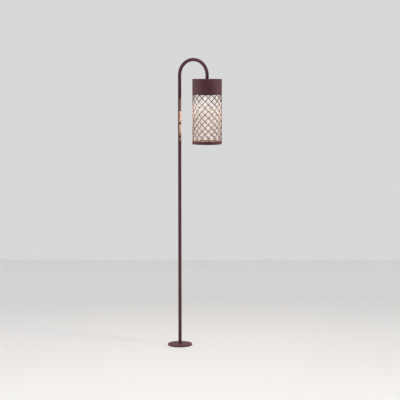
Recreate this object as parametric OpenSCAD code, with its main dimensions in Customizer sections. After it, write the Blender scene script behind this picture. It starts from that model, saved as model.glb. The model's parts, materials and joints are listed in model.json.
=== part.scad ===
// Lantern floor lamp: a slim bent tube on a round foot plate carries a drum
// lantern, whose cage of crossed rods wraps a translucent sleeve.
// Millimetres, +Z up. The origin is the centre of the foot's underside, and
// the arch reaches towards +X.

/* [Overall] */
// Height from the floor to the top of the arch
lamp_h = 2150; // [2000:10:2300]
// Distance from the pole's axis to the lantern's axis
reach = 228; // [200:2:260]

/* [Foot] */
// Diameter of the foot plate
foot_d = 182; // [170:2:260]
// Thickness of the foot plate
foot_t = 9; // [7:0.5:16]
// Chamfer round the foot plate's top edge
foot_chamfer = 0.8; // [0.4:0.2:2]
// Thickness of the pad under the foot plate
pad_t = 1; // [0.8:0.1:3]
// Distance that the pad stays back from the foot plate's edge
pad_inset = 2; // [1:0.5:6]
// Number of ground anchor holes
anchor_count = 3; // [3:1:6]
// Diameter of the circle that the anchor holes lie on
anchor_pcd = 134; // [100:2:140]
// Diameter of an anchor hole
anchor_d = 7; // [5:0.5:8]
// Diameter of the countersink of an anchor hole
anchor_sink_d = 14; // [10:0.5:16]
// Bore of the grommet that the supply cable comes in by
inlet_d = 8; // [6:0.5:8.5]
// Wall of the grommet
grommet_wall = 3; // [2:0.25:3.5]
// Width of the grommet's flange
grommet_flange = 2.5; // [1.5:0.5:4]

/* [Pole] */
// Outer diameter of the pole and arch tube
pole_d = 25; // [24:0.5:30]
// Wall of the tube
pole_wall = 2; // [1.5:0.25:2]
// Height of the joint between the two lengths of the pole
joint_z = 1100; // [900:10:1300]
// Length of the spigot that the pole stands on
spigot_len = 110; // [80:5:160]
// Bore of the spigot
spigot_bore = 12; // [10:0.5:13]
// Length of the sleeve inside the joint
sleeve_len = 160; // [120:5:240]
// Wall of the sleeve
sleeve_wall = 2.4; // [1.5:0.1:3]
// Radial gap between the tube and what slips into it
slip_gap = 0.15; // [0.05:0.05:0.3]
// Diameter of a set screw
set_screw_d = 6; // [4:0.5:6]
// Length of a set screw
set_screw_len = 5; // [4:0.5:6]
// Distance of a set screw from the end of the piece it holds
set_screw_in = 30; // [20:5:38]

/* [Arm end] */
// Straight length of tube between the arch and the lantern
drop = 26.5; // [26:0.5:80]
// Length of the bush in the tube's end
bush_len = 24; // [18:1:25]
// Outer diameter of the hollow threaded nipple
nipple_d = 13; // [11:0.5:14]
// Bore of the nipple
nipple_bore = 9.4; // [7:0.2:9.6]
// Length of the nipple inside the cap
nipple_tail = 14; // [12:0.5:24]
// Thickness of the seal between tube and cap
seal_t = 1; // [0.5:0.25:2]
// Diameter of the washer under the cap's top
washer_d = 50; // [30:1:70]
// Thickness of that washer
washer_t = 2.5; // [1.5:0.5:4]
// Width of the nut across its flats
nut_af = 19; // [17:1:24]
// Thickness of the nut
nut_t = 7; // [5:0.5:9]

/* [Cap] */
// Outer diameter of cap, cage and ring
lantern_d = 216; // [206:2:240]
// Height of the cap
cap_h = 112; // [100:1:150]
// Sheet thickness of the cap
cap_wall = 1.2; // [1:0.1:2]
// Radius of the cap's top edge
cap_edge_r = 1.5; // [0.5:0.25:3]
// Width of the cap's turned-in rim
rim_w = 20; // [19:0.5:21]
// Thickness of the chassis plate that closes the cap
chassis_t = 1.5; // [1:0.25:3]

/* [Cage] */
// Height of the open lattice
cage_h = 336; // [240:2:420]
// Number of rods in each layer
rod_count = 14; // [8:1:18]
// Diameter of a rod
rod_d = 3.6; // [2.4:0.1:4]
// Turn that each rod makes from top to bottom
rod_turn = 180; // [120:5:220]
// Gap between the two layers of rods
rod_gap = 0.15; // [0.1:0.05:0.4]
// Angle of the first crossing from the arch's plane
cage_angle = 6.4; // [0:0.1:25.7]
// Thickness of the hoop at the top of the cage
hoop_t = 3; // [2:0.25:5]
// Height of the ring at the bottom of the cage
ring_h = 24.5; // [16:0.5:40]
// Sheet thickness of that ring
ring_t = 2; // [1:0.25:3]

/* [Diffuser] */
// Wall of the diffuser tube
diffuser_wall = 1.5; // [1:0.25:2.5]
// Thickness of the diffuser's turned-in rim
diffuser_rim_t = 2; // [1.5:0.25:3]
// Distance from the diffuser's lower edge to the cage's ring
diffuser_lift = 15; // [5:1:40]
// Thickness of the gasket over the diffuser's rim
gasket_t = 1; // [0.5:0.25:2]
// Thickness of the clamp ring
clamp_t = 2; // [1.5:0.25:4]
// Number of clamp screws
clamp_count = 6; // [3:1:8]
// Diameter of a clamp screw
clamp_screw_d = 4; // [3:0.5:4]

/* [Light] */
// Diameter of the LED board
board_d = 48; // [40:1:50]
// Thickness of the LED board
board_t = 1.6; // [1:0.1:2]
// Diameter of the lens flange
lens_d = 72; // [66:1:76]
// Thickness of the lens
lens_t = 2; // [1.5:0.25:3]
// Depth of the lens dome below its flange
lens_depth = 9; // [6:0.5:16]
// Diameter of the heat sink
sink_d = 88; // [84:1:90]
// Thickness of the heat sink's base
sink_base_t = 4; // [3:0.5:6]
// Height of the heat sink's fins
fin_h = 20; // [10:1:30]
// Thickness of a fin
fin_t = 1.6; // [1:0.1:2.4]
// Distance from fin to fin
fin_pitch = 6; // [4:0.5:10]

/* [Electrics] */
// Length of the LED driver
driver_l = 56; // [48:1:60]
// Width of the LED driver
driver_w = 24; // [20:1:26]
// Height of the LED driver
driver_h = 30; // [20:1:32]
// Length of the terminal block
block_l = 40; // [30:1:44]
// Width of the terminal block
block_w = 16; // [12:1:18]
// Height of the terminal block
block_h = 18; // [14:1:24]
// Diameter of the cable in the pole
cable_d = 6; // [5:0.5:7]
// Diameter of the leads in the cap
lead_d = 3; // [2:0.25:4]
// Diameter of the in-line connector in the pole's foot
connector_d = 18; // [14:0.5:20]
// Length of the in-line connector
connector_l = 60; // [40:1:90]

/* [Hidden] */
$fn = 96;

// Colours
PLUM = [0.33, 0.23, 0.25];
ZINC = [0.70, 0.70, 0.72];
ALLOY = [0.78, 0.79, 0.80];
BRASS = [0.78, 0.63, 0.33];
RUBBER = [0.10, 0.10, 0.11];
OPAL = [0.96, 0.92, 0.85];
CLEAR = [0.95, 0.96, 0.97];
WHITE = [0.92, 0.92, 0.90];
BOARD = [0.93, 0.93, 0.88];
CABLE = [0.16, 0.16, 0.17];

// Clearances that the pieces share: seats, threads and screw holes
eps = 0.1;
thread_gap = 0.05;
hole_gap = 0.2;

// Screws
socket_share = 0.5;
socket_depth_share = 0.6;
m3_d = 3;
m3_head_d = 5.5;
m3_head_h = 1.8;
m3_hole_d = m3_d + 2 * hole_gap;
set_socket_h = 2.5;

// Foot
plate_top = pad_t + foot_t;
grommet_d = inlet_d + 2 * grommet_wall;
grommet_flange_d = grommet_d + 2 * grommet_flange;
grommet_lift = 0.2;
anchor_sink_h = (anchor_sink_d - anchor_d) / 2;

// Pole and arch
pole_r = pole_d / 2;
pole_bore = pole_d - 2 * pole_wall;
slip_d = pole_bore - 2 * slip_gap;
arch_r = reach / 2;
spring_z = lamp_h - pole_r - arch_r;
sleeve_bore = slip_d - 2 * sleeve_wall;

// Arm end, from the tube down into the cap
cap_top = spring_z - drop;
tube_end = cap_top + seal_t;
seal_inset = 0.3;
bush_z = tube_end + eps;
nipple_short = 3;
nipple_top = bush_z + bush_len - nipple_short;
washer_z = cap_top - cap_wall - washer_t;
nut_z = washer_z - nut_t;
nipple_z = cap_top - cap_wall - nipple_tail;
nipple_hole_d = nipple_d + 2 * hole_gap;

// Lantern, from the cap down to the ring
lantern_r = lantern_d / 2;
cap_z = cap_top - cap_h;
rim_r = lantern_r - rim_w;
cage_top = cap_z - hoop_t;
cage_z = cage_top - cage_h;
ring_z = cage_z - ring_h;
outer_rod_r = lantern_r - rod_d / 2;
inner_rod_r = outer_rod_r - rod_d - rod_gap;
rod_slices = 20;
rod_sides = 8;
rod_margin = 0.5;
ring_lip = 2 * rod_d + rod_gap + rod_margin;

// Diffuser and its clamp, hung under the chassis plate
diffuser_gap = 0.6;
diffuser_r = inner_rod_r - rod_d / 2 - diffuser_gap;
rim_step = 1;
chassis_z = cage_top - chassis_t;
gasket_z = chassis_z - gasket_t;
diffuser_rim_z = gasket_z - diffuser_rim_t;
clamp_z = diffuser_rim_z - clamp_t;
diffuser_z = cage_z + diffuser_lift;
clamp_gap = 0.5;
clamp_r = rim_r + (diffuser_r - diffuser_wall - rim_r) / 2;
clamp_hole_d = clamp_screw_d + 2 * hole_gap;
clamp_head_d = 1.9 * clamp_screw_d;
clamp_head_h = 0.65 * clamp_screw_d;
clinch_wall = 1.5;
clinch_d = clamp_screw_d + 2 * clinch_wall;
clinch_h = 0.75 * clamp_screw_d;
clinch_z = cap_z + cap_wall;

// Light, under and over the chassis plate
boss_margin = 4;
boss_d = board_d + 2 * boss_margin;
chassis_hole_d = boss_d + 2 * hole_gap;
lens_gasket_t = 1;
lens_gasket_in = 0.5;
lens_gasket_z = chassis_z - lens_gasket_t;
lens_z = lens_gasket_z - lens_t;
dome_edge = lens_t + 1;
dome_r = board_d / 2 + dome_edge;
bezel_t = 2;
bezel_inset = 2;
bezel_z = lens_z - bezel_t;
bezel_r = sink_d / 2 - bezel_inset;
bezel_screw_r = (lens_d / 2 + bezel_r) / 2 + hole_gap;
bezel_screws_n = 4;
bezel_turn = 45;
sink_z = cage_top;
fin_z = sink_z + sink_base_t;
fin_inset = 1;
lead_clear = 1;
lead_well = 3;
fin_count = floor((sink_d / 2 - fin_t) / fin_pitch);
lead_hole_d = lead_d + 2 * lead_clear;

// Electrics on the chassis plate
driver_clear = 2.5;
driver_y = sqrt(pow(rim_r - driver_clear, 2) - pow(driver_l / 2, 2)) - driver_w / 2;
driver_ear_l = 10;
driver_ear_w = 12;
driver_ear_t = 3;
driver_screw_x = driver_l / 2 + driver_ear_l / 2;
block_gap = 8;
block_y = -(sink_d / 2 + block_gap + block_w / 2);
block_screw_in = 5;
block_screw_x = block_l / 2 - block_screw_in;
block_pocket_d = m3_head_d + 2 * hole_gap;
block_slot = [5, 3, 7];
block_slot_z = 3;
block_slot_pitch = 7;
earth_d = 4;
earth_head_d = 8;
earth_gap = 7;
earth_turn = -33;
earth_r = sink_d / 2 + earth_gap + earth_head_d / 2;
earth_head_h = 2.6;

// Wiring
connector_gap = 4;
connector_neck = 1.5;
connector_z = plate_top + spigot_len + connector_gap;
cable_z = connector_z + connector_l;
cable_bend = 25;
cable_straight = 5;
cable_turn_z = nipple_z - cable_straight;
mains_z = sink_z + driver_h / 2;
mains_bend = 20;
led_lead_y = driver_y - driver_w / 4;
led_lead_rise = 6;
led_lead_z = sink_z + max(driver_h, sink_base_t + fin_h) + led_lead_rise;

// Set screws: [x of the tube's axis, height]
set_screw_at = [
  [0, plate_top + set_screw_in],
  [0, plate_top + spigot_len - set_screw_in],
  [0, joint_z - sleeve_len / 2 + set_screw_in],
  [0, joint_z - set_screw_in / 2],
  [0, joint_z + set_screw_in / 2],
  [0, joint_z + sleeve_len / 2 - set_screw_in],
  [reach, bush_z + bush_len / 2]
];

// ---- shared shapes ----

module tube(d, bore, h) {
  difference() {
    cylinder(d = d, h = h);
    translate([0, 0, -1]) cylinder(d = bore, h = h + 2);
  }
}

module at_lantern(z = 0) {
  translate([reach, 0, z]) children();
}

module around(count, radius, turn = 0) {
  for (i = [0 : count - 1]) {
    rotate([0, 0, turn + i * 360 / count]) translate([radius, 0, 0]) children();
  }
}

// Pan-head screw standing on its head's seat: shank up, head below
module pan_screw(d, head_d, head_h, length) {
  socket_d = head_d * socket_share;
  socket_h = head_h * socket_depth_share;
  difference() {
    union() {
      cylinder(d = d, h = length);
      translate([0, 0, -head_h]) cylinder(d = head_d, h = head_h);
    }
    translate([0, 0, -head_h - 1]) cylinder(d = socket_d, h = 1 + socket_h, $fn = 6);
  }
}

// Set screws point from the back of the tube towards its axis
module at_set_screws() {
  for (place = set_screw_at) {
    translate([place[0], 0, place[1]]) rotate([0, -90, 0]) children();
  }
}

module set_screw_holes(gap) {
  at_set_screws() cylinder(d = set_screw_d + 2 * gap, h = pole_d);
}

// A round bar that starts at the origin along +X and stays in the XY plane.
// A step of one number is a straight length. A step of two numbers is a bend:
// its radius and its angle, which is positive to the left.
module bent_bar(d, steps, i = 0) {
  if (i < len(steps)) {
    radius = steps[i][0];
    if (len(steps[i]) == 1) {
      rotate([0, 90, 0]) cylinder(d = d, h = radius);
      translate([radius, 0, 0]) bent_bar(d, steps, i + 1);
    } else {
      angle = abs(steps[i][1]);
      side = sign(steps[i][1]);
      translate([0, side * radius, 0]) {
        rotate([0, 0, side > 0 ? -90 : 90 - angle]) rotate_extrude(angle = angle) {
          translate([radius, 0]) circle(d = d);
        }
        rotate([0, 0, side * angle]) translate([0, -side * radius, 0]) bent_bar(d, steps, i + 1);
      }
    }
  }
}

// Turns a bent bar's plane upright: along +Z first, with its left towards +X
module upright() {
  rotate([0, -90, -90]) children();
}

// ---- foot ----

module anchor_holes(sunk) {
  around(anchor_count, anchor_pcd / 2, 180 / anchor_count) {
    translate([0, 0, -1]) cylinder(d = anchor_d, h = plate_top + 2);
    if (sunk) {
      translate([0, 0, plate_top - anchor_sink_h]) {
        cylinder(d1 = anchor_d, d2 = anchor_sink_d, h = anchor_sink_h);
      }
    }
  }
}

module foot_pad() {
  color(RUBBER) difference() {
    tube(foot_d - 2 * pad_inset, grommet_flange_d + 2 * hole_gap, pad_t);
    anchor_holes(false);
  }
}

module foot_plate() {
  color(PLUM) difference() {
    translate([0, 0, pad_t]) union() {
      cylinder(d = foot_d, h = foot_t - foot_chamfer);
      translate([0, 0, foot_t - foot_chamfer]) {
        cylinder(d1 = foot_d, d2 = foot_d - 2 * foot_chamfer, h = foot_chamfer);
      }
    }
    translate([0, 0, -1]) cylinder(d = grommet_d, h = plate_top + 2);
    anchor_holes(true);
  }
}

module cable_grommet() {
  color(RUBBER) difference() {
    union() {
      translate([0, 0, grommet_lift]) cylinder(d = grommet_flange_d, h = pad_t - grommet_lift);
      translate([0, 0, grommet_lift]) cylinder(d = grommet_d, h = plate_top - grommet_lift);
    }
    translate([0, 0, -1]) cylinder(d = inlet_d, h = plate_top + 2);
  }
}

module foot_spigot() {
  color(ZINC) difference() {
    translate([0, 0, plate_top]) tube(slip_d, spigot_bore, spigot_len);
    set_screw_holes(eps);
  }
}

// ---- pole ----

module pole_lower() {
  color(PLUM) difference() {
    translate([0, 0, plate_top]) tube(pole_d, pole_bore, joint_z - plate_top);
    set_screw_holes(thread_gap);
  }
}

module joint_sleeve() {
  color(ZINC) difference() {
    translate([0, 0, joint_z - sleeve_len / 2]) tube(slip_d, sleeve_bore, sleeve_len);
    set_screw_holes(eps);
  }
}

module pole_arch() {
  color(PLUM) difference() {
    translate([0, 0, joint_z]) upright() {
      bent_bar(pole_d, [[spring_z - joint_z], [arch_r, 180], [spring_z - tube_end]]);
    }
    translate([0, 0, joint_z - 1]) upright() {
      bent_bar(pole_bore, [[spring_z - joint_z + 1], [arch_r, 180], [spring_z - tube_end + 1]]);
    }
    set_screw_holes(thread_gap);
  }
}

module set_screws() {
  tip = pole_r - eps - set_screw_len;
  color(ZINC) at_set_screws() difference() {
    translate([0, 0, tip]) cylinder(d = set_screw_d, h = set_screw_len);
    translate([0, 0, pole_r - set_socket_h]) {
      cylinder(d = set_screw_d * socket_share, h = set_socket_h + 1, $fn = 6);
    }
  }
}

// ---- arm end ----

module arm_bush() {
  color(ZINC) difference() {
    at_lantern(bush_z) tube(slip_d, nipple_d + 2 * thread_gap, bush_len);
    set_screw_holes(eps);
  }
}

module arm_nipple() {
  color(ZINC) at_lantern(nipple_z) tube(nipple_d, nipple_bore, nipple_top - nipple_z);
}

module arm_seal() {
  color(RUBBER) at_lantern(cap_top) tube(pole_d - 2 * seal_inset, nipple_hole_d, seal_t);
}

module nipple_washer() {
  color(ZINC) at_lantern(washer_z) tube(washer_d, nipple_hole_d, washer_t);
}

module nipple_nut() {
  color(ZINC) at_lantern(nut_z) difference() {
    cylinder(d = nut_af / cos(30), h = nut_t, $fn = 6);
    translate([0, 0, -1]) cylinder(d = nipple_d + 2 * thread_gap, h = nut_t + 2);
  }
}

// ---- cap ----

module cap_profile() {
  difference() {
    union() {
      square([lantern_r, cap_h - cap_edge_r]);
      square([lantern_r - cap_edge_r, cap_h]);
      translate([lantern_r - cap_edge_r, cap_h - cap_edge_r]) circle(r = cap_edge_r);
    }
    translate([-1, cap_wall]) square([lantern_r - cap_wall + 1, cap_h - 2 * cap_wall]);
    translate([-1, -1]) square([rim_r + 1, cap_wall + 2]);
    translate([-1, cap_h - cap_wall - 1]) square([nipple_hole_d / 2 + 1, cap_wall + 2]);
  }
}

module clamp_holes(d, z0, z1) {
  around(clamp_count, clamp_r) translate([0, 0, z0 - 1]) cylinder(d = d, h = z1 - z0 + 2);
}

module cap_shell() {
  color(PLUM) at_lantern() difference() {
    translate([0, 0, cap_z]) rotate_extrude() cap_profile();
    clamp_holes(clamp_hole_d, cap_z, cap_z + cap_wall);
  }
}

module clinch_nuts() {
  color(ZINC) at_lantern(clinch_z) around(clamp_count, clamp_r) {
    tube(clinch_d, clamp_screw_d + 2 * thread_gap, clinch_h);
  }
}

// ---- cage ----

module cage_hoop() {
  color(PLUM) at_lantern() difference() {
    translate([0, 0, cage_top]) tube(lantern_d, 2 * rim_r, hoop_t);
    clamp_holes(clamp_hole_d, cage_top, cap_z);
  }
}

// One rod: a horizontal slice through a slanted round bar is an ellipse,
// carried round and up at a steady rate
module cage_rod(radius, turn) {
  lead = atan(cage_h / (radius * abs(turn) * PI / 180));
  linear_extrude(height = cage_h, twist = turn, slices = rod_slices, $fn = rod_sides) {
    translate([radius, 0]) scale([1, 1 / sin(lead)]) circle(d = rod_d);
  }
}

module cage_layer(radius, turn) {
  color(PLUM) at_lantern(cage_z) {
    for (i = [0 : rod_count - 1]) {
      rotate([0, 0, cage_angle + rod_turn + i * 360 / rod_count]) cage_rod(radius, turn);
    }
  }
}

module cage_rods_inner() {
  cage_layer(inner_rod_r, -rod_turn);
}

module cage_rods_outer() {
  cage_layer(outer_rod_r, rod_turn);
}

module cage_ring() {
  color(PLUM) at_lantern(ring_z) difference() {
    tube(lantern_d, lantern_d - 2 * ring_lip, ring_h);
    translate([0, 0, ring_t]) cylinder(r = lantern_r - ring_t, h = ring_h - 2 * ring_t);
  }
}

// ---- chassis and light ----

module bezel_holes(d, z0, z1) {
  around(bezel_screws_n, bezel_screw_r, bezel_turn) {
    translate([0, 0, z0 - 1]) cylinder(d = d, h = z1 - z0 + 2);
  }
}

module chassis_plate() {
  color(ALLOY) at_lantern() difference() {
    translate([0, 0, chassis_z]) tube(2 * diffuser_r, chassis_hole_d, chassis_t);
    clamp_holes(clamp_hole_d, chassis_z, cage_top);
    bezel_holes(m3_hole_d, chassis_z, cage_top);
    at_driver_screws() translate([0, 0, chassis_z - 1]) cylinder(d = m3_hole_d, h = chassis_t + 2);
    at_block_screws() translate([0, 0, chassis_z - 1]) cylinder(d = m3_hole_d, h = chassis_t + 2);
    at_earth_screw() {
      translate([0, 0, chassis_z - 1]) cylinder(d = earth_d + 2 * hole_gap, h = chassis_t + 2);
    }
  }
}

module heat_sink() {
  color(ALLOY) at_lantern() difference() {
    union() {
      translate([0, 0, chassis_z]) cylinder(d = boss_d, h = chassis_t);
      translate([0, 0, sink_z]) cylinder(d = sink_d, h = sink_base_t);
      intersection() {
        translate([0, 0, sink_z]) cylinder(d = sink_d - 2 * fin_inset, h = sink_base_t + fin_h);
        for (i = [-fin_count : fin_count]) {
          translate([i * fin_pitch - fin_t / 2, -sink_d / 2, sink_z]) {
            cube([fin_t, sink_d, sink_base_t + fin_h]);
          }
        }
      }
    }
    translate([0, 0, chassis_z - 1]) cylinder(d = lead_hole_d, h = chassis_t + sink_base_t + 2);
    translate([0, 0, fin_z]) cylinder(d = lead_d + 2 * lead_well, h = fin_h + 1);
    bezel_holes(m3_d + 2 * thread_gap, sink_z, fin_z);
    bezel_holes(m3_head_d, fin_z + 1, fin_z + fin_h);
  }
}

module led_board() {
  color(BOARD) at_lantern(chassis_z - board_t) cylinder(d = board_d, h = board_t);
}

module lens_gasket() {
  color(RUBBER) at_lantern(lens_gasket_z) {
    tube(lens_d, chassis_hole_d + 2 * lens_gasket_in, lens_gasket_t);
  }
}

// Flanged dome: a flat-bottomed cup with a rounded lower edge
module lens_profile() {
  difference() {
    union() {
      square([lens_d / 2, lens_t]);
      translate([0, dome_edge - lens_depth]) square([dome_r, lens_depth]);
      translate([0, -lens_depth]) square([dome_r - dome_edge, lens_depth]);
      translate([dome_r - dome_edge, dome_edge - lens_depth]) circle(r = dome_edge);
    }
    translate([-1, dome_edge - lens_depth]) square([dome_r - lens_t + 1, lens_depth + lens_t]);
    translate([-1, -lens_depth + lens_t]) square([dome_r - dome_edge + 1, lens_depth]);
    translate([dome_r - dome_edge, dome_edge - lens_depth]) circle(r = dome_edge - lens_t);
    translate([-dome_r - 1, -lens_depth - 1]) square([dome_r + 1, 2 * lens_depth + lens_t]);
  }
}

module led_lens() {
  color(CLEAR) at_lantern(lens_z) rotate_extrude() lens_profile();
}

module lens_bezel() {
  color(PLUM) at_lantern() difference() {
    translate([0, 0, bezel_z]) cylinder(r = bezel_r, h = chassis_z - bezel_z);
    translate([0, 0, bezel_z - 1]) cylinder(r = dome_r + hole_gap, h = bezel_t + 2);
    translate([0, 0, lens_z]) cylinder(d = lens_d + 2 * eps, h = chassis_z - lens_z + 1);
    bezel_holes(m3_hole_d, bezel_z, chassis_z);
  }
}

module bezel_screws() {
  color(ZINC) at_lantern(bezel_z) around(bezel_screws_n, bezel_screw_r, bezel_turn) {
    pan_screw(m3_d, m3_head_d, m3_head_h, fin_z - bezel_z);
  }
}

// ---- diffuser and clamp ----

module diffuser_gasket() {
  color(RUBBER) at_lantern() difference() {
    translate([0, 0, gasket_z]) tube(2 * diffuser_r, 2 * (rim_r + rim_step), gasket_t);
    clamp_holes(clamp_hole_d, gasket_z, chassis_z);
  }
}

module diffuser() {
  color(OPAL) at_lantern() difference() {
    translate([0, 0, diffuser_z]) cylinder(r = diffuser_r, h = gasket_z - diffuser_z);
    translate([0, 0, diffuser_z - 1]) {
      cylinder(r = diffuser_r - diffuser_wall, h = diffuser_rim_z - diffuser_z + 1);
    }
    translate([0, 0, diffuser_rim_z - 1]) cylinder(r = rim_r + rim_step, h = diffuser_rim_t + 2);
    clamp_holes(clamp_hole_d, diffuser_rim_z, gasket_z);
  }
}

module clamp_ring() {
  color(PLUM) at_lantern() difference() {
    translate([0, 0, clamp_z]) {
      tube(2 * (diffuser_r - diffuser_wall - clamp_gap), 2 * rim_r, clamp_t);
    }
    clamp_holes(clamp_hole_d, clamp_z, diffuser_rim_z);
  }
}

module clamp_screws() {
  color(ZINC) at_lantern(clamp_z) around(clamp_count, clamp_r) {
    pan_screw(clamp_screw_d, clamp_head_d, clamp_head_h, clinch_z + clinch_h - clamp_z);
  }
}

// ---- electrics ----

module at_driver_screws() {
  for (side = [-1, 1]) translate([side * driver_screw_x, driver_y, 0]) children();
}

module at_block_screws() {
  for (side = [-1, 1]) translate([side * block_screw_x, block_y, 0]) children();
}

module at_earth_screw() {
  rotate([0, 0, earth_turn]) translate([earth_r, 0, 0]) children();
}

module led_driver() {
  ear_span = driver_l + 2 * driver_ear_l;
  color(WHITE) at_lantern(sink_z) difference() {
    union() {
      translate([-driver_l / 2, driver_y - driver_w / 2, 0]) cube([driver_l, driver_w, driver_h]);
      translate([-ear_span / 2, driver_y - driver_ear_w / 2, 0]) {
        cube([ear_span, driver_ear_w, driver_ear_t]);
      }
    }
    at_driver_screws() translate([0, 0, -1]) cylinder(d = m3_hole_d, h = driver_ear_t + 2);
  }
}

module driver_screws() {
  color(ZINC) at_lantern(sink_z + driver_ear_t) at_driver_screws() {
    mirror([0, 0, 1]) pan_screw(m3_d, m3_head_d, m3_head_h, driver_ear_t + chassis_t);
  }
}

module terminal_block() {
  color(WHITE) at_lantern(sink_z) difference() {
    translate([-block_l / 2, block_y - block_w / 2, 0]) cube([block_l, block_w, block_h]);
    at_block_screws() {
      translate([0, 0, -1]) cylinder(d = m3_hole_d, h = block_h + 2);
      translate([0, 0, block_h / 2]) cylinder(d = block_pocket_d, h = block_h);
    }
    for (i = [-1 : 1]) {
      translate([i * block_slot_pitch - block_slot[0] / 2, block_y - block_w / 2, block_slot_z]) {
        translate([0, -1, 0]) cube(block_slot + [0, 1, 0]);
      }
    }
  }
}

module block_screws() {
  color(ZINC) at_lantern(sink_z + block_h / 2) at_block_screws() {
    mirror([0, 0, 1]) pan_screw(m3_d, m3_head_d, m3_head_h, block_h / 2 + chassis_t);
  }
}

module earth_screw() {
  color(BRASS) at_lantern(sink_z) at_earth_screw() {
    mirror([0, 0, 1]) pan_screw(earth_d, earth_head_d, earth_head_h, chassis_t);
  }
}

// ---- wiring ----

module inline_connector() {
  waist_d = connector_d - 2 * connector_neck;
  end_l = connector_l / 3;
  color(CABLE) translate([0, 0, connector_z]) union() {
    cylinder(d = connector_d, h = end_l);
    cylinder(d = waist_d, h = connector_l);
    translate([0, 0, connector_l - end_l]) cylinder(d = connector_d, h = end_l);
  }
}

// Up the pole, round the arch, down through the nipple, and over to the
// terminal block in two bends
module inner_cable() {
  across = -block_y - 2 * cable_bend;
  down = cable_turn_z - 2 * cable_bend - sink_z - block_h;
  color(CABLE) union() {
    translate([0, 0, cable_z]) upright() {
      bent_bar(cable_d, [[spring_z - cable_z], [arch_r, 180], [spring_z - cable_turn_z]]);
    }
    at_lantern(cable_turn_z) rotate([0, 90, 180]) {
      bent_bar(cable_d, [[cable_bend, 90], [across], [cable_bend, -90], [down]]);
    }
  }
}

// From the terminal block's end, round the heat sink, to the driver's end
module mains_lead() {
  out = (driver_l - block_l) / 2;
  across = driver_y - block_y - 2 * mains_bend;
  color(CABLE) at_lantern(mains_z) translate([block_l / 2, block_y, 0]) {
    bent_bar(lead_d, [[out], [mains_bend, 90], [across], [mains_bend, 90]]);
  }
}

// From the driver's top, over in a half circle, down through the heat sink
module led_lead() {
  up = led_lead_z - sink_z - driver_h;
  down = led_lead_z - chassis_z;
  color(CABLE) at_lantern(sink_z + driver_h) translate([0, led_lead_y, 0]) {
    rotate([0, -90, 180]) bent_bar(lead_d, [[up], [led_lead_y / 2, 180], [down]]);
  }
}

foot_pad();
foot_plate();
cable_grommet();
foot_spigot();
pole_lower();
joint_sleeve();
pole_arch();
set_screws();
arm_bush();
arm_nipple();
arm_seal();
cap_shell();
nipple_washer();
nipple_nut();
clinch_nuts();
cage_hoop();
cage_rods_inner();
cage_rods_outer();
cage_ring();
chassis_plate();
diffuser_gasket();
diffuser();
clamp_ring();
clamp_screws();
heat_sink();
led_board();
lens_gasket();
led_lens();
lens_bezel();
bezel_screws();
led_driver();
driver_screws();
terminal_block();
block_screws();
earth_screw();
inline_connector();
inner_cable();
mains_lead();
led_lead();
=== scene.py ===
"""Looks of the lantern floor lamp: finishes, small trim, stage, light and camera.

Lengths are in metres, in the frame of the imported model: +Z up, the pole on the Z axis, the lantern
towards +X.
"""

import json
import math

import bmesh
import bpy
from mathutils import Matrix, Vector


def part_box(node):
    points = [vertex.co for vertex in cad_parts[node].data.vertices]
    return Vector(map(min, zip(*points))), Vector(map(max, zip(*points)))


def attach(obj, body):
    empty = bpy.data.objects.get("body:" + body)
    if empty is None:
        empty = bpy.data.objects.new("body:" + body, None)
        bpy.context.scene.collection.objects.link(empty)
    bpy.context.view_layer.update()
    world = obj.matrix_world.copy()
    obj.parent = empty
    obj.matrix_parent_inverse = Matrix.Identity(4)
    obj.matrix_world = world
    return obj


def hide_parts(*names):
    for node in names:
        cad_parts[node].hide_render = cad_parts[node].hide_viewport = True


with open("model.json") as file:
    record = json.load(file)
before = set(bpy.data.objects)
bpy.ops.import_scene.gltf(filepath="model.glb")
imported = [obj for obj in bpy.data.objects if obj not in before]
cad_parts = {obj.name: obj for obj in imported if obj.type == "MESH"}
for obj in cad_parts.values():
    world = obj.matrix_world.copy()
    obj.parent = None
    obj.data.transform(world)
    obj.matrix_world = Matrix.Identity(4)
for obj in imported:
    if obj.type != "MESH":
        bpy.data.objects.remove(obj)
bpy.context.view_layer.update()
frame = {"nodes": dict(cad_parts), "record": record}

ROOT = "root"
MM = 0.001

# Camera: its azimuth, its angle below the horizon, and its place from the pole's foot, measured
# back from the pole, to its right and up
VIEW_TURN = math.radians(27.5)
VIEW_PITCH = math.radians(6.3)
VIEW_BACK = 9.42
VIEW_SIDE = 0.1504
VIEW_HEIGHT = 2.138
LENS_MM = 114.57

# Cage
ROD_R = 1.8 * MM
ROD_GAP = 0.15 * MM
ROD_COUNT = 14
ROD_TURN = math.pi
CAGE_ANGLE = math.radians(6.4)
DIAMONDS = 7

# Finishes as linear colours
PLUM = (0.095, 0.032, 0.040)
PLUM_DARK = (0.085, 0.028, 0.036)
ZINC = (0.60, 0.60, 0.62)
ALLOY = (0.72, 0.73, 0.74)
BRASS = (0.71, 0.52, 0.22)
RUBBER = (0.020, 0.020, 0.022)
SILICONE = (0.74, 0.74, 0.71)
OPAL = (0.58, 0.565, 0.54)
CLEAR = (0.96, 0.97, 0.97)
WHITE = (0.78, 0.78, 0.76)
BLACK = (0.028, 0.028, 0.030)
CABLE = (0.032, 0.032, 0.034)
SOLDER_MASK = (0.84, 0.83, 0.78)
PHOSPHOR = (0.90, 0.62, 0.12)
PHOSPHOR_GLOW = (1.0, 0.80, 0.52)

# Shares of those colours: the rods' paint, darkened below the plum as painted shade, the specks in the
# paint, and
# # the other shade in the patches of metal, mouldings and sleeve
ROD_PAINTED_SHADE = 0.6
FLECK_SHARE = 3.5
METAL_SHARE = 0.82
MOULD_SHARE = 0.88
OPAL_SHARE = 1.06

# Stage
BACKDROP = (0.693, 0.686, 0.690)
WALL_BEHIND = 4.1
FLOOR_SIZE = 60.0


# ---- places read from the frame ----

def axis_of(node):
    """The x of the vertical axis through the middle of a node."""
    low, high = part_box(node)
    return (low.x + high.x) / 2


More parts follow.
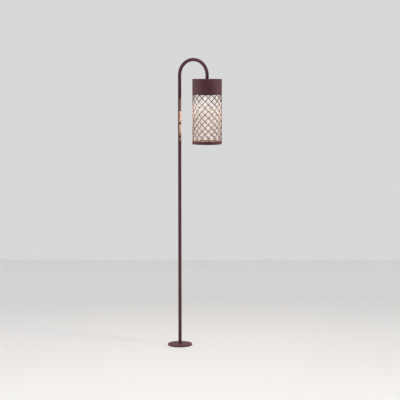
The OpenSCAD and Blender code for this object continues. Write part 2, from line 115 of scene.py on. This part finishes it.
LANTERN_X = axis_of("cage_ring")
RING_LOW, RING_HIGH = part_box("cage_ring")
LANTERN_R = (RING_HIGH.x - RING_LOW.x) / 2
CAGE_LOW_Z = RING_HIGH.z
CAGE_HIGH_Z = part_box("cage_hoop")[0].z
OUTER_ROD_R = LANTERN_R - ROD_R
INNER_ROD_R = OUTER_ROD_R - 2 * ROD_R - ROD_GAP


# ---- shader helpers ----

class Shader:
    """A material's node tree with short names for what the finishes below need."""

    def __init__(self, name):
        self.material = bpy.data.materials.new(name)
        self.material.use_nodes = True
        self.tree = self.material.node_tree
        self.tree.nodes.clear()
        self.output = self.node("ShaderNodeOutputMaterial")
        self.bsdf = self.node("ShaderNodeBsdfPrincipled")
        self.link(self.bsdf.outputs["BSDF"], self.output.inputs["Surface"])
        self.place = self.node("ShaderNodeTexCoord").outputs["Object"]

    def node(self, kind, **settings):
        made = self.tree.nodes.new(kind)
        for key, value in settings.items():
            setattr(made, key, value)
        return made

    def link(self, a, b):
        self.tree.links.new(a, b)

    def set(self, **values):
        for key, value in values.items():
            socket = self.bsdf.inputs[key.replace("_", " ")]
            if isinstance(value, tuple) and len(value) == 3:
                value = (*value, 1.0)
            socket.default_value = value

    def stretched(self, scale):
        """Object coordinates, scaled by different amounts along X, Y and Z."""
        mapping = self.node("ShaderNodeMapping")
        mapping.inputs["Scale"].default_value = scale
        self.link(self.place, mapping.inputs["Vector"])
        return mapping.outputs["Vector"]

    def noise(self, per_metre, detail=2.0, place=None):
        made = self.node("ShaderNodeTexNoise")
        made.inputs["Scale"].default_value = per_metre
        made.inputs["Detail"].default_value = detail
        self.link(place or self.place, made.inputs["Vector"])
        return made.outputs["Fac"]

    def remap(self, value, low, high, from_low=0.3, from_high=0.7):
        made = self.node("ShaderNodeMapRange")
        made.inputs["From Min"].default_value = from_low
        made.inputs["From Max"].default_value = from_high
        made.inputs["To Min"].default_value = low
        made.inputs["To Max"].default_value = high
        self.link(value, made.inputs["Value"])
        return made.outputs["Result"]

    def mix(self, factor, a, b):
        """A colour mix. a and b are colours or sockets."""
        made = self.node("ShaderNodeMix", data_type="RGBA")
        self.link(factor, made.inputs[0])
        for socket, value in ((made.inputs[6], a), (made.inputs[7], b)):
            if isinstance(value, tuple):
                socket.default_value = (*value, 1.0)
            else:
                self.link(value, socket)
        return made.outputs[2]

    def ramp(self, value, stops):
        """Colours picked along a 0 to 1 value. stops are pairs of a place and a colour."""
        made = self.node("ShaderNodeValToRGB")
        elements = made.color_ramp.elements
        while len(elements) < len(stops):
            elements.new(0.5)
        for element, (at, colour) in zip(elements, stops):
            element.position = at
            element.color = (*colour, 1.0)
        self.link(value, made.inputs["Fac"])
        return made.outputs["Color"]

    def bump(self, height, strength, depth):
        made = self.node("ShaderNodeBump")
        made.inputs["Strength"].default_value = strength
        made.inputs["Distance"].default_value = depth
        self.link(height, made.inputs["Height"])
        self.link(made.outputs["Normal"], self.bsdf.inputs["Normal"])


# ---- finishes ----

def powder_coat(name, share=1.0):
    """Satin plum-brown powder coat: faint clouds, fine speckle, orange peel. share darkens it, which
    gives the rods their painted shade.
    """
    s = Shader(name)
    dark, light = (tuple(share * c for c in colour) for colour in (PLUM_DARK, PLUM))
    clouds = s.mix(s.remap(s.noise(9.0), 0.0, 1.0), dark, light)
    speckle = s.remap(s.noise(1800.0, 1.0), 0.0, 0.05, 0.55, 0.75)
    fleck = tuple(FLECK_SHARE * c for c in light)
    s.link(s.mix(speckle, clouds, fleck), s.bsdf.inputs["Base Color"])
    s.link(s.remap(s.noise(35.0), 0.58, 0.68), s.bsdf.inputs["Roughness"])
    s.bump(s.noise(750.0), 0.12, 0.10 * MM)
    s.set(Specular_IOR_Level=0.25)
    return s.material


def metal(name, colour, rough_low, rough_high, grain=None):
    """Bare or plated metal. grain stretches its fine scratches along an axis."""
    s = Shader(name)
    place = s.stretched(grain) if grain else s.place
    scratches = s.noise(900.0 if not grain else 1.0, 3.0, place)
    dull = tuple(METAL_SHARE * c for c in colour)
    s.link(s.mix(s.remap(s.noise(40.0), 0.0, 1.0), dull, colour), s.bsdf.inputs["Base Color"])
    s.link(s.remap(scratches, rough_low, rough_high), s.bsdf.inputs["Roughness"])
    s.bump(scratches, 0.08, 0.05 * MM)
    s.set(Metallic=1.0)
    return s.material


def moulded(name, colour, roughness, texture_per_metre, depth, specular=0.5):
    """Plastic, rubber or silicone with a moulded surface texture."""
    s = Shader(name)
    shade = tuple(MOULD_SHARE * c for c in colour)
    s.link(s.mix(s.remap(s.noise(25.0), 0.0, 1.0), shade, colour), s.bsdf.inputs["Base Color"])
    s.link(s.remap(s.noise(60.0), roughness - 0.05, roughness + 0.05), s.bsdf.inputs["Roughness"])
    s.bump(s.noise(texture_per_metre), 0.2, depth)
    s.set(Specular_IOR_Level=specular)
    return s.material


def clear_plastic():
    s = Shader("clear_plastic")
    s.set(Base_Color=CLEAR, Transmission_Weight=1.0, IOR=1.58)
    s.link(s.remap(s.noise(120.0), 0.04, 0.12), s.bsdf.inputs["Roughness"])
    s.bump(s.noise(500.0), 0.05, 0.05 * MM)
    return s.material


def opal_plastic():
    """Warm white sleeve with a faint painted glow that stands in for the LEDs' light shining through it,
    most in its upper half nearer them. Most of its brightness comes from the three lights that are kept
    to it. It lets most of the light inside through."""
    s = Shader("opal_plastic")
    low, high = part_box("diffuser")
    height = s.node("ShaderNodeSeparateXYZ")
    s.link(s.place, height.inputs["Vector"])
    share_up = s.remap(height.outputs["Z"], 0.0, 1.0, low.z, high.z)
    # Painted glow: emission that stands in for the LEDs' light through the sleeve, brightest in its
    # upper half
    s.link(s.ramp(share_up, SLEEVE_PAINTED_GLOW), s.bsdf.inputs["Emission Color"])
    pale = tuple(OPAL_SHARE * c for c in OPAL)
    s.link(s.mix(s.remap(s.noise(14.0), 0.0, 1.0), OPAL, pale), s.bsdf.inputs["Base Color"])
    s.set(Emission_Strength=1.0, Specular_IOR_Level=0.3)
    s.link(s.remap(s.noise(50.0), 0.38, 0.46), s.bsdf.inputs["Roughness"])
    s.bump(s.noise(900.0), 0.06, 0.05 * MM)
    rays = s.node("ShaderNodeLightPath")
    share = s.node("ShaderNodeMath", operation="MULTIPLY")
    s.link(rays.outputs["Is Shadow Ray"], share.inputs[0])
    share.inputs[1].default_value = SLEEVE_PASSES
    clear = s.node("ShaderNodeBsdfTransparent")
    through = s.node("ShaderNodeMixShader")
    s.link(share.outputs["Value"], through.inputs["Fac"])
    s.link(s.bsdf.outputs["BSDF"], through.inputs[1])
    s.link(clear.outputs["BSDF"], through.inputs[2])
    s.link(through.outputs["Shader"], s.output.inputs["Surface"])
    return s.material


def phosphor():
    s = Shader("phosphor")
    s.set(Base_Color=PHOSPHOR, Roughness=0.5, Emission_Color=PHOSPHOR_GLOW, Emission_Strength=4.0)
    s.bump(s.noise(3000.0), 0.1, 0.02 * MM)
    return s.material


# The sleeve's painted glow, which stands in for the LEDs' light shining through it, by its height from
# bottom to top
# # as a share, and how much of a shadow ray it passes
SLEEVE_PAINTED_GLOW = (
    (0.00, (0.09, 0.02, 0.01)),
    (0.50, (0.09, 0.035, 0.015)),
    (0.62, (0.11, 0.09, 0.07)),
    (0.78, (0.13, 0.14, 0.15)),
    (0.95, (0.15, 0.11, 0.09)),
    (1.00, (0.07, 0.04, 0.03)),
)
SLEEVE_PASSES = 0.9

plum_paint = powder_coat("powder_coat")
# The rods' paint is the plum darkened, as painted shade
rod_paint_painted_shade = powder_coat("powder_coat_rods_painted_shade", ROD_PAINTED_SHADE)
zinc = metal("zinc_plate", ZINC, 0.28, 0.42)
white_mould = moulded("white_mould", WHITE, 0.45, 1500.0, 0.05 * MM)
solder_mask = moulded("solder_mask", SOLDER_MASK, 0.40, 2500.0, 0.02 * MM)
emitter = phosphor()
FINISH = {
    "plum_steel": plum_paint,
    "plum_aluminium": plum_paint,
    "zinc_steel": zinc,
    "bare_aluminium": metal("mill_aluminium", ALLOY, 0.30, 0.48, (40.0, 2200.0, 2200.0)),
    "brass_plain": metal("plain_brass", BRASS, 0.25, 0.38),
    "rubber_black": moulded("black_rubber", RUBBER, 0.75, 1800.0, 0.08 * MM, 0.3),
    "silicone_white": moulded("white_silicone", SILICONE, 0.60, 900.0, 0.04 * MM, 0.35),
    "opal_plastic": opal_plastic(),
    "clear_plastic": clear_plastic(),
    "white_plastic": white_mould,
    "black_plastic": moulded("black_mould", BLACK, 0.50, 1500.0, 0.05 * MM),
    "cable_black": moulded("cable_sheath", CABLE, 0.55, 700.0, 0.05 * MM, 0.4),
    "led_white": solder_mask,
}
for part in frame["record"]["subparts"]:
    materials = frame["nodes"][part["node"]].data.materials
    materials.clear()
    materials.append(FINISH[part["material_slot"]])


# ---- mesh helpers ----

def add_piece(name, mesh, materials, replaced=()):
    """A piece of the lamp that rides with the CAD model's one body."""
    for finish in materials:
        mesh.materials.append(finish)
    piece = bpy.data.objects.new(name, mesh)
    bpy.context.scene.collection.objects.link(piece)
    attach(piece, ROOT)
    if replaced:
        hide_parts(*replaced)
    return piece


def bm_mesh(name, bm, smooth=True):
    mesh = bpy.data.meshes.new(name)
    bm.normal_update()
    bm.to_mesh(mesh)
    bm.free()
    if smooth:
        mesh.shade_smooth()
    return mesh


def around_lantern(angle, radius, z):
    return Vector((LANTERN_X + radius * math.cos(angle), radius * math.sin(angle), z))


def add_blob(bm, place, turn, size, segments=12, rings=7):
    """An ellipsoid of half-sizes radial, tangential and vertical, turned about the vertical."""
    matrix = Matrix.Translation(place) @ Matrix.Rotation(turn, 4, "Z") @ Matrix.Diagonal((*size, 1.0))
    bmesh.ops.create_uvsphere(bm, u_segments=segments, v_segments=rings, radius=1.0, matrix=matrix)


# ---- cage rods ----

ROD_SIDES = 14
ROD_STEPS = 84


def rod_angle(index, share, way):
    """Where a rod stands at a share of the cage's height. way is +1 or -1."""
    return CAGE_ANGLE + 2 * math.pi * index / ROD_COUNT + way * ROD_TURN * (share - 1)


def add_rod(bm, radius, index, way):
    """A round rod that winds up the cage, with its ends cut level."""
    height = CAGE_HIGH_Z - CAGE_LOW_Z
    lead = math.atan2(height, radius * ROD_TURN)
    rings = []
    for step in range(ROD_STEPS + 1):
        share = step / ROD_STEPS
        angle = rod_angle(index, share, way)
        z = CAGE_LOW_Z + share * height
        ring = []
        for side in range(ROD_SIDES):
            a = 2 * math.pi * side / ROD_SIDES
            x = radius + ROD_R * math.cos(a)
            y = ROD_R * math.sin(a) / math.sin(lead)
            r = math.hypot(x, y)
            ring.append(bm.verts.new(around_lantern(angle + math.atan2(y, x), r, z)))
        rings.append(ring)
    for below, above in zip(rings, rings[1:]):
        for side in range(ROD_SIDES):
            after = (side + 1) % ROD_SIDES
            bm.faces.new((below[side], below[after], above[after], above[side]))
    bm.faces.new(list(reversed(rings[0])))
    bm.faces.new(rings[-1])


def cage_layer(name, node, radius, way):
    bm = bmesh.new()
    for index in range(ROD_COUNT):
        add_rod(bm, radius, index, way)
    return add_piece(name, bm_mesh(name, bm), [rod_paint_painted_shade], [node])


outer_rods = cage_layer("rods_outer_round", "cage_rods_outer", OUTER_ROD_R, -1)
inner_rods = cage_layer("rods_inner_round", "cage_rods_inner", INNER_ROD_R, 1)


def weld_beads():
    """Small painted welds where the rods meet the hoop and the ring, and where they cross."""
    bm = bmesh.new()
    end_size = (2.1 * MM, 3.0 * MM, 1.1 * MM)
    cross_size = (0.9 * MM, 2.2 * MM, 2.2 * MM)
    for index in range(ROD_COUNT):
        for radius, way in ((OUTER_ROD_R, -1), (INNER_ROD_R, 1)):
            for share, z in ((0.0, CAGE_LOW_Z), (1.0, CAGE_HIGH_Z)):
                angle = rod_angle(index, share, way)
                add_blob(bm, around_lantern(angle, radius, z), angle, end_size)
        for crossing in range(1, 2 * DIAMONDS):
            share = crossing / (2 * DIAMONDS)
            angle = rod_angle(index, share, 1)
            z = CAGE_LOW_Z + share * (CAGE_HIGH_Z - CAGE_LOW_Z)
            middle = (OUTER_ROD_R + INNER_ROD_R) / 2
            add_blob(bm, around_lantern(angle, middle, z), angle, cross_size, 8, 5)
    return add_piece("cage_welds", bm_mesh("cage_welds", bm), [rod_paint_painted_shade])


welds = weld_beads()


# ---- light source ----

# Emitters: how many in each ring, and the ring's radius in millimetres
LED_RINGS = ((1, 0.0), (6, 9.0), (12, 18.0))
LED_SIZE = 3.4 * MM
LED_H = 0.7 * MM
LED_BEVEL = 0.15 * MM
LED_FACE_R = 1.3 * MM
LED_FACE_H = 0.1 * MM


def led_packages():
    """Emitters in rings under the board, each a white body with a phosphor face."""
    bm = bmesh.new()
    board_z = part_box("led_board")[0].z
    for count, radius in LED_RINGS:
        for index in range(count):
            angle = 2 * math.pi * index / count
            place = around_lantern(angle, radius * MM, board_z - LED_H / 2)
            turn = Matrix.Rotation(angle, 4, "Z")
            body = Matrix.Translation(place) @ turn @ Matrix.Diagonal((LED_SIZE, LED_SIZE, LED_H, 1.0))
            made = bmesh.ops.create_cube(bm, size=1.0, matrix=body)
            edges = {edge for vert in made["verts"] for edge in vert.link_edges}
            bmesh.ops.bevel(bm, geom=list(edges), offset=LED_BEVEL, segments=1, affect="EDGES")
            face = Matrix.Translation(place - Vector((0, 0, LED_H / 2 + LED_FACE_H / 2)))
            before = set(bm.faces)
            bmesh.ops.create_cone(bm, cap_ends=True, segments=20, radius1=LED_FACE_R,
                                  radius2=LED_FACE_R, depth=LED_FACE_H, matrix=face)
            for made_face in set(bm.faces) - before:
                made_face.material_index = 1
    mesh = bm_mesh("led_packages", bm, smooth=False)
    add_piece("led_packages", mesh, [white_mould, emitter])


led_packages()


# ---- stage ----

# Painted shade on the floor: its brightness by distance behind the pole, as the camera sees it, lighter
# # towards the camera and darker further back
FLOOR_PAINTED_SHADE = (
    (-2.0, 0.91), (-1.4, 0.862), (-0.6, 0.79), (0.0, 0.750), (0.45, 0.720),
    (0.95, 0.680), (1.4, 0.645), (1.9, 0.625), (3.2, 0.64), (4.1, 0.615),
)
FLOOR_TINT = (1.0, 0.985, 0.975)


def floor_material():
    s = Shader("floor_painted_shade")
    place = s.node("ShaderNodeSeparateXYZ")
    s.link(s.place, place.inputs["Vector"])
    start = FLOOR_PAINTED_SHADE[0][0]
    span = FLOOR_PAINTED_SHADE[-1][0] - start
    # Painted shade: the floor's colour darkens further back
    behind = s.remap(place.outputs["Y"], 0.0, 1.0, start, start + span)
    stops = [((at - start) / span, tuple(grey * t for t in FLOOR_TINT)) for at, grey in FLOOR_PAINTED_SHADE]
    s.link(s.ramp(behind, stops), s.bsdf.inputs["Base Color"])
    s.set(Roughness=0.9, Specular_IOR_Level=0.1)
    return s.material


def make_stage():
    """A floor with painted shade, darker further back, that ends at the backdrop, which is the world's
    own colour.
    """
    mesh = bpy.data.meshes.new("floor")
    half = FLOOR_SIZE / 2
    corners = [(-half, -half, 0), (half, -half, 0), (half, WALL_BEHIND, 0), (-half, WALL_BEHIND, 0)]
    mesh.from_pydata(corners, [], [(0, 1, 2, 3)])
    mesh.materials.append(floor_material())
    floor = bpy.data.objects.new("floor", mesh)
    floor.rotation_euler.z = VIEW_TURN
    bpy.context.scene.collection.objects.link(floor)
    return floor


floor = make_stage()


# ---- light ----

# The studio's lights: the level at which a white surface shows, and how widely they spread
FILL = 0.04
TOP_LEVEL = 0.86
SIDE_LEVEL = 0.66
SUN_SPREAD = math.radians(30)
FLOOR_SUN_SPREAD = math.radians(110)
SUN_DISTANCE = 5

# Three lights kept to the sleeve, in which only the rods cast shadows. Their heights are shares of their
# distance along the floor. The first comes from the camera's side and from below the floor, the others
# from behind and above
SLEEVE_LEVEL = 0.98
SLEEVE_TINT = (0.98, 0.96, 0.94)
SLEEVE_SPREAD = SUN_SPREAD / 2
SLEEVE_SUNS_UP = (-0.84, 0.84, 0.84)

# The lamp's own light: its colour on the floor, on the plum paint and on the rods, and its place, a gap
# below the lens and shifted to the right and towards the camera by the amounts given
WARM = (1.0, 0.84, 0.66)
WARM_ON_PAINT = (0.60, 0.93, 0.50)
ROD_WARM = (0.85, 0.85, 0.55)
LENS_GAP = 2 * MM
LENS_SHIFT = (-0.006, -0.012)

# Its parts: power in watts, width of the cone, blend and radius of the source
DOWN_POWER = 26.0
DOWN_WIDTH = math.radians(100)
DOWN_R = 2 * MM
DOWN_AIM_BEHIND = 0.99
AROUND_POWER = 16.0
AROUND_WIDTH = math.radians(170)
AROUND_BLEND = 0.6
AROUND_R = 6 * MM
ROD_POWER = 44.0
ROD_WIDTH = math.radians(178)
RING_POWER = 130.0
RING_WIDTH = math.radians(60)
RING_BLEND = 0.1
INNER_R = 4 * MM

# The light on the pole comes from inside the cap, which does not block it. Its spots: name, power,
# angle of the middle below the horizontal, width and blend
SIDE_SOURCE = (LANTERN_X + 0.011, -0.014, 1.899)
SIDE_R = 1.5 * MM
POLE_FACE_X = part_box("pole_lower")[1].x
POLE_SPOTS = (
    ("pole_light_top", 7.0, 24.0, 34.0, 1.0),
    ("pole_light_all", 49.0, 42.5, 31.0, 0.12),
    ("pole_light_low", 45.0, 48.0, 20.0, 0.7),
)


def aim(thing, target):
    direction = Vector(target) - thing.location
    thing.rotation_euler = direction.to_track_quat("-Z", "Y").to_euler()


def view_point(right, back, up):
    """A point given as the camera sees the room: right, towards the camera, and up."""
    c, s = math.cos(VIEW_TURN), math.sin(VIEW_TURN)
    return Vector((c * right + s * back, s * right - c * back, up))


def make_world():
    world = bpy.data.worlds.new("studio")
    bpy.context.scene.world = world
    world.use_nodes = True
    tree = world.node_tree
    tree.nodes.clear()
    output = tree.nodes.new("ShaderNodeOutputWorld")
    rays = tree.nodes.new("ShaderNodeLightPath")
    seen = tree.nodes.new("ShaderNodeBackground")
    seen.inputs["Color"].default_value = (*BACKDROP, 1.0)
    fill = tree.nodes.new("ShaderNodeBackground")
    fill.inputs["Color"].default_value = (1.0, 1.0, 1.0, 1.0)
    fill.inputs["Strength"].default_value = FILL
    either = rays.outputs["Is Camera Ray"]
    for ray in ("Is Glossy Ray", "Is Transmission Ray"):
        most = tree.nodes.new("ShaderNodeMath")
        most.operation = "MAXIMUM"
        tree.links.new(either, most.inputs[0])
        tree.links.new(rays.outputs[ray], most.inputs[1])
        either = most.outputs["Value"]
    mix = tree.nodes.new("ShaderNodeMixShader")
    tree.links.new(either, mix.inputs["Fac"])
    tree.links.new(fill.outputs["Background"], mix.inputs[1])
    tree.links.new(seen.outputs["Background"], mix.inputs[2])
    tree.links.new(mix.outputs["Shader"], output.inputs["Surface"])


def studio_sun(name, right, back, up, level, spread, colour=(1.0, 1.0, 1.0)):
    """Soft, even light from a direction given as the camera sees the room. A white surface that
    faces it shows the level as its brightness."""
    light = bpy.data.lights.new(name, "SUN")
    light.color = colour
    light.energy = level * math.pi
    light.angle = spread
    thing = bpy.data.objects.new(name, light)
    thing.location = SUN_DISTANCE * view_point(right, back, up)
    aim(thing, (0, 0, 0))
    bpy.context.scene.collection.objects.link(thing)
    return thing


def collection_of(name, things, state="INCLUDE"):
    """A collection for light linking: the things alone, or all but them."""
    made = bpy.data.collections.new(name)
    for thing in things:
        made.objects.link(thing)
    for entry in made.collection_objects:
        entry.light_linking.link_state = state
    return made


def keep_light(light, lit, blockers=None):
    """Keeps a light to what it may light, and its shadows to what may block it."""
    light.light_linking.receiver_collection = lit
    if blockers:
        light.light_linking.blocker_collection = blockers


def lamp_spot(name, power, colour, radius, place, target, cone, blend):
    """One of the lamp's own lights."""
    light = bpy.data.lights.new(name, "SPOT")
    light.energy = power
    light.color = colour
    light.shadow_soft_size = radius
    light.spot_size = cone
    light.spot_blend = blend
    thing = bpy.data.objects.new(name, light)
    thing.location = place
    aim(thing, target)
    bpy.context.scene.collection.objects.link(thing)
    return thing


nodes = frame["nodes"]
foot = [nodes["foot_plate"], nodes["foot_pad"], nodes["pole_lower"]]
floor_only = collection_of("floor_only", [floor])
all_but_floor = collection_of("all_but_floor", [floor], "EXCLUDE")
sleeve_only = collection_of("sleeve_only", [nodes["diffuser"]])
all_but_sleeve = collection_of("all_but_sleeve", [nodes["diffuser"]], "EXCLUDE")
floor_and_foot = collection_of("below", [floor, *foot])
poles = collection_of("poles", [nodes["pole_arch"], nodes["pole_lower"]])
rods = collection_of("rods", [outer_rods, inner_rods, welds])
ring_only = collection_of("ring_only", [nodes["cage_ring"]])

make_world()
top = studio_sun("soft_top", 0.05, 0.10, 1.0, TOP_LEVEL, SUN_SPREAD)
keep_light(top, all_but_floor)
wide = studio_sun("soft_above_floor", 0.0, 0.0, 1.0, TOP_LEVEL, FLOOR_SUN_SPREAD)
keep_light(wide, floor_only)
for name, side in (("soft_left", -1.0), ("soft_right", 1.0)):
    sun = studio_sun(name, side, 0.02, 0.05, SIDE_LEVEL, SUN_SPREAD)
    keep_light(sun, all_but_sleeve)
for index, up in enumerate(SLEEVE_SUNS_UP):
    turn = 2 * math.pi * index / len(SLEEVE_SUNS_UP)
    name = f"sleeve_light_{index}"
    sun = studio_sun(name, math.sin(turn), math.cos(turn), up, SLEEVE_LEVEL, SLEEVE_SPREAD, SLEEVE_TINT)
    keep_light(sun, sleeve_only, rods)

LENS_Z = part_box("led_lens")[0].z - LENS_GAP
LENS_MIDDLE = Vector((LANTERN_X, 0, LENS_Z))
UNDER_LENS = LENS_MIDDLE + view_point(*LENS_SHIFT, 0)
FLOOR_POINT = (LANTERN_X, 0, 0)
BEHIND = Vector(FLOOR_POINT) + view_point(0.0, -DOWN_AIM_BEHIND, 0.0)

# The pool of light on the floor and on the foot, which every piece may shade
down = lamp_spot("light_down", DOWN_POWER, WARM, DOWN_R, UNDER_LENS, BEHIND, DOWN_WIDTH, 1.0)
keep_light(down, floor_and_foot)

# A wide light on the floor, in which only the pole casts a shadow
around = lamp_spot("light_around", AROUND_POWER, WARM, AROUND_R, UNDER_LENS, FLOOR_POINT,
                   AROUND_WIDTH, AROUND_BLEND)
keep_light(around, floor_only, poles)

# Light on the inner sides of the rods
on_rods = lamp_spot("light_on_rods", ROD_POWER, ROD_WARM, INNER_R, LENS_MIDDLE, FLOOR_POINT,
                    ROD_WIDTH, 1.0)
keep_light(on_rods, rods)

# Light on the pole, with the shadows of the rods
for name, power, slope, width, blend in POLE_SPOTS:
    drop = (SIDE_SOURCE[0] - POLE_FACE_X) * math.tan(math.radians(slope))
    target = (POLE_FACE_X, 0, SIDE_SOURCE[2] - drop)
    spot = lamp_spot(name, power, WARM_ON_PAINT, SIDE_R, SIDE_SOURCE, target,
                     math.radians(width), blend)
    keep_light(spot, poles, rods)

# Light on the ring, with the shadows of the rods
ring = lamp_spot("light_in_ring", RING_POWER, WARM_ON_PAINT, INNER_R, UNDER_LENS, FLOOR_POINT,
                 RING_WIDTH, RING_BLEND)
keep_light(ring, ring_only, rods)


# ---- camera ----

def make_camera():
    data = bpy.data.cameras.new("camera")
    data.lens = LENS_MM
    camera = bpy.data.objects.new("camera", data)
    camera.location = view_point(VIEW_SIDE, VIEW_BACK, VIEW_HEIGHT)
    camera.rotation_euler = (math.pi / 2 - VIEW_PITCH, 0.0, VIEW_TURN)
    bpy.context.scene.collection.objects.link(camera)
    bpy.context.scene.camera = camera


make_camera()
bpy.context.scene.view_settings.view_transform = "Standard"
